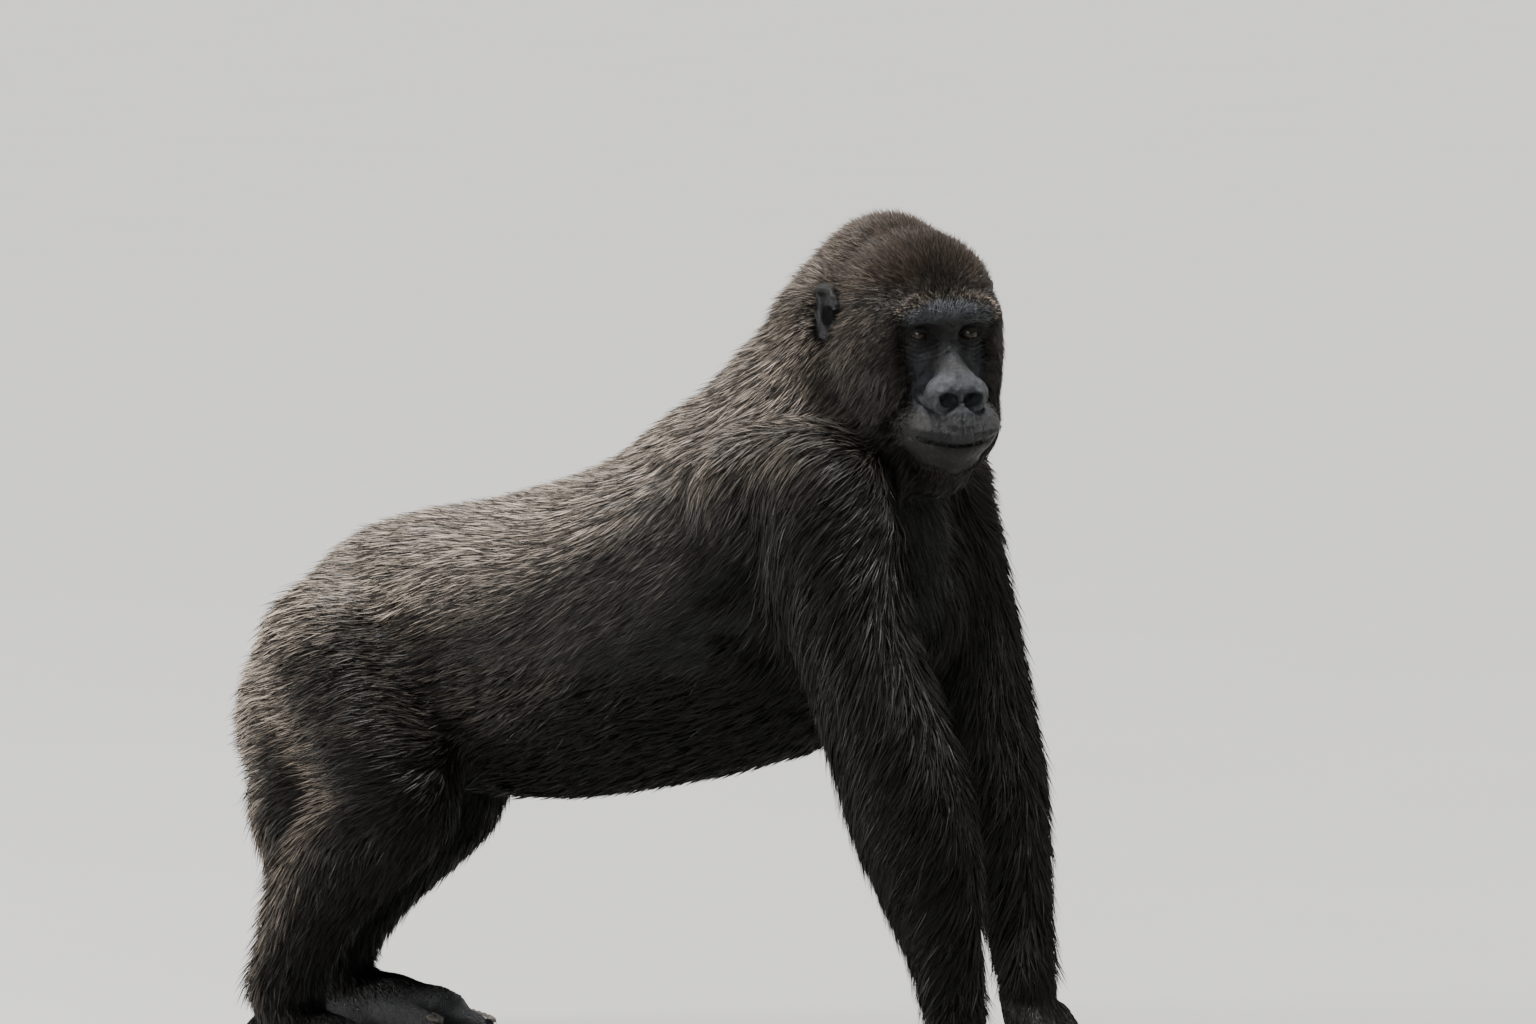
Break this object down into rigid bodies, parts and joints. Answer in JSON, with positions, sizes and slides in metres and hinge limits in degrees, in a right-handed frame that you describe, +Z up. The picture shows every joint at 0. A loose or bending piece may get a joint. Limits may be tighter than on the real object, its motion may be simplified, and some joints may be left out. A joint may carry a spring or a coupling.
{
  "type": "gorilla",
  "caption": "Life-size still model of a young adult western gorilla standing on all fours on its knuckles, with its head turned to its right.",
  "frame": {"origin": "centre of the bounding box at floor level", "axes": "the body runs along Y and the animal faces -Y, its left side is towards +X, and +Z is up from the floor"},
  "size_m": [0.5346, 1.1078, 1.0127],
  "materials": {
    "fur_back": "dense brown-grey coat, 3 to 5 cm long, lying backwards and down",
    "fur_limbs": "long black coat hanging down the limbs",
    "fur_crown": "short dense coat with a reddish-brown crown",
    "skin": "bare black skin with a soft sheen",
    "eye": "wet, dark brown",
    "nail": "dark grey, smooth"
  },
  "bodies": {
    "root": {"trunk": "fur_back", "neck": "fur_back", "head": "fur_crown", "eye_right": "eye", "eye_left": "eye", "ear_right": "skin", "ear_left": "skin", "upper_arm_right": "fur_limbs", "forearm_right": "fur_limbs", "hand_right": "skin", "thumb_nail_right": "nail", "finger_nail_right_1": "nail", "finger_nail_right_2": "nail", "finger_nail_right_3": "nail", "finger_nail_right_4": "nail", "upper_arm_left": "fur_limbs", "forearm_left": "fur_limbs", "hand_left": "skin", "thumb_nail_left": "nail", "finger_nail_left_1": "nail", "finger_nail_left_2": "nail", "finger_nail_left_3": "nail", "finger_nail_left_4": "nail", "thigh_right": "fur_limbs", "shank_right": "fur_limbs", "foot_right": "skin", "toe_nail_right_1": "nail", "toe_nail_right_2": "nail", "toe_nail_right_3": "nail", "toe_nail_right_4": "nail", "toe_nail_right_5": "nail", "thigh_left": "fur_limbs", "shank_left": "fur_limbs", "foot_left": "skin", "toe_nail_left_1": "nail", "toe_nail_left_2": "nail", "toe_nail_left_3": "nail", "toe_nail_left_4": "nail", "toe_nail_left_5": "nail"}
  },
  "joints": []
}
